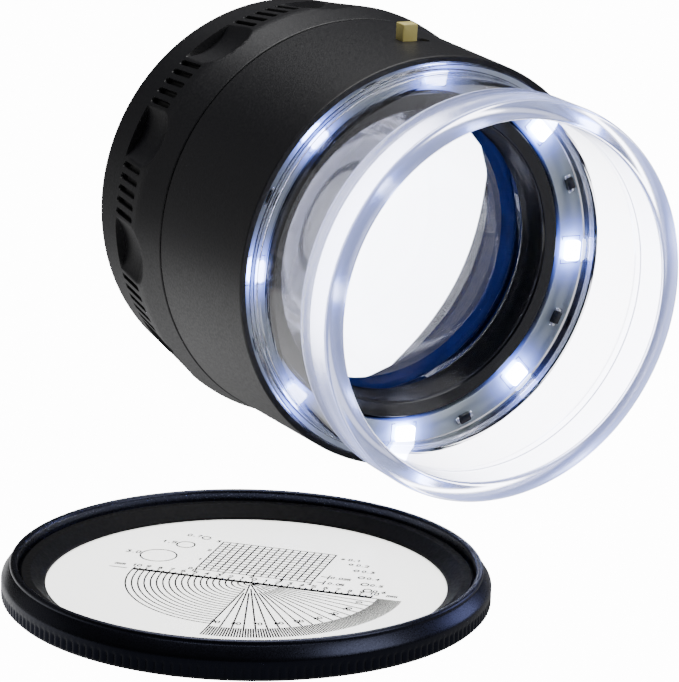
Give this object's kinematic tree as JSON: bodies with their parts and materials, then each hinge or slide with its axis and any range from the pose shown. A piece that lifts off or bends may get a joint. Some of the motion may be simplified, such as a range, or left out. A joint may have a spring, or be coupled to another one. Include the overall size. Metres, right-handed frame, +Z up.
{
  "type": "illuminated scale loupe",
  "caption": "Lamp-lit focusing loupe on a clear viewing base, lying on its side beside its knurled reticle ring with a printed measuring scale.",
  "frame": {"origin": "middle of the footprint of the laid-down loupe and its reticle ring, on the table", "axes": "+Z up from the table; +Y from the clear viewing end towards the eye end, level with the table; +X to the right of it, away from the reticle ring"},
  "size_m": [0.0706, 0.0754, 0.0405],
  "materials": {
    "black_aluminium": "matte fine-textured black coat on turned aluminium",
    "clear_acrylic": "polished clear acrylic",
    "board_white": "white solder mask on glass-fibre board",
    "led_white": "white moulded lamp with a clear lens",
    "resistor_black": "glazed black chip",
    "black_plastic": "moulded",
    "grey_plastic": "moulded",
    "cream_plastic": "moulded",
    "tinned_brass": "bright tin plate",
    "wire_red": "extruded sleeve",
    "wire_black": "extruded sleeve",
    "steel": "bright rolled",
    "brass": "turned",
    "black_brass": "turned and blackened",
    "rubber": "moulded nitrile",
    "gloss_black": "gloss black enamel on turned aluminium",
    "matte_black": "matte black on turned aluminium",
    "black_anodised": "black anodised, satin",
    "lens_glass": "polished optical glass"
  },
  "bodies": {
    "housing": {"body_shell": "black_aluminium", "clear_base": "clear_acrylic", "led_board": "board_white", "led_1": "led_white", "led_2": "led_white", "led_3": "led_white", "led_4": "led_white", "led_5": "led_white", "led_6": "led_white", "led_7": "led_white", "led_8": "led_white", "resistor_1": "resistor_black", "resistor_2": "resistor_black", "resistor_3": "resistor_black", "resistor_4": "resistor_black", "resistor_5": "resistor_black", "resistor_6": "resistor_black", "resistor_7": "resistor_black", "resistor_8": "resistor_black", "board_spacer_ring": "black_plastic", "switch_housing": "grey_plastic", "switch_terminal_1": "tinned_brass", "switch_terminal_2": "tinned_brass", "switch_terminal_3": "tinned_brass", "battery_carrier": "black_plastic", "button_cell_1": "steel", "button_cell_2": "steel", "button_cell_3": "steel", "cell_link_1": "tinned_brass", "cell_link_2": "tinned_brass", "positive_contact": "tinned_brass", "negative_contact": "tinned_brass", "lead_wire_positive": "wire_red", "lead_wire_negative": "wire_black", "guide_bush": "brass", "guide_pin_1": "steel", "guide_pin_2": "steel", "focus_o_ring": "rubber", "grip_retaining_ring": "steel"},
    "grip": {"grip_ring": "black_aluminium", "focus_nut": "black_brass"},
    "lens_unit": {"lens_barrel": "black_aluminium", "front_lens_ring": "gloss_black", "field_lens_flint": "lens_glass", "field_lens_crown": "lens_glass", "lens_spacer": "matte_black", "eye_lens": "lens_glass", "eyepiece_rim": "matte_black"},
    "switch": {"switch_lever": "cream_plastic"},
    "reticle": {"reticle_frame": "black_anodised", "reticle_glass": "lens_glass", "reticle_retaining_ring": "black_anodised"}
  },
  "joints": [
    {"name": "focus_turn", "type": "hinge", "parent": "housing", "child": "grip", "pos_m": [0.01535, 0.02776, 0.02011], "axis": [0, 0.9988, 0.0485], "range_deg": [-120.5, 120.5]},
    {"name": "lens_travel", "type": "slide", "parent": "housing", "child": "lens_unit", "axis": [0, 0.9988, 0.0485], "range_m": [-0.0015, 0.0015]},
    {"name": "switch_slide", "type": "slide", "parent": "housing", "child": "switch", "axis": [1, 0, 0], "range_m": [0, 0.0015]},
    {"name": "reticle_lift", "type": "slide", "parent": "housing", "child": "reticle", "axis": [0, 0, 1], "range_m": [0, 0.006]}
  ],
  "couplings": [
    {"joint": "focus_turn", "follows": "lens_travel", "rad_per_m": 1396.3}
  ]
}
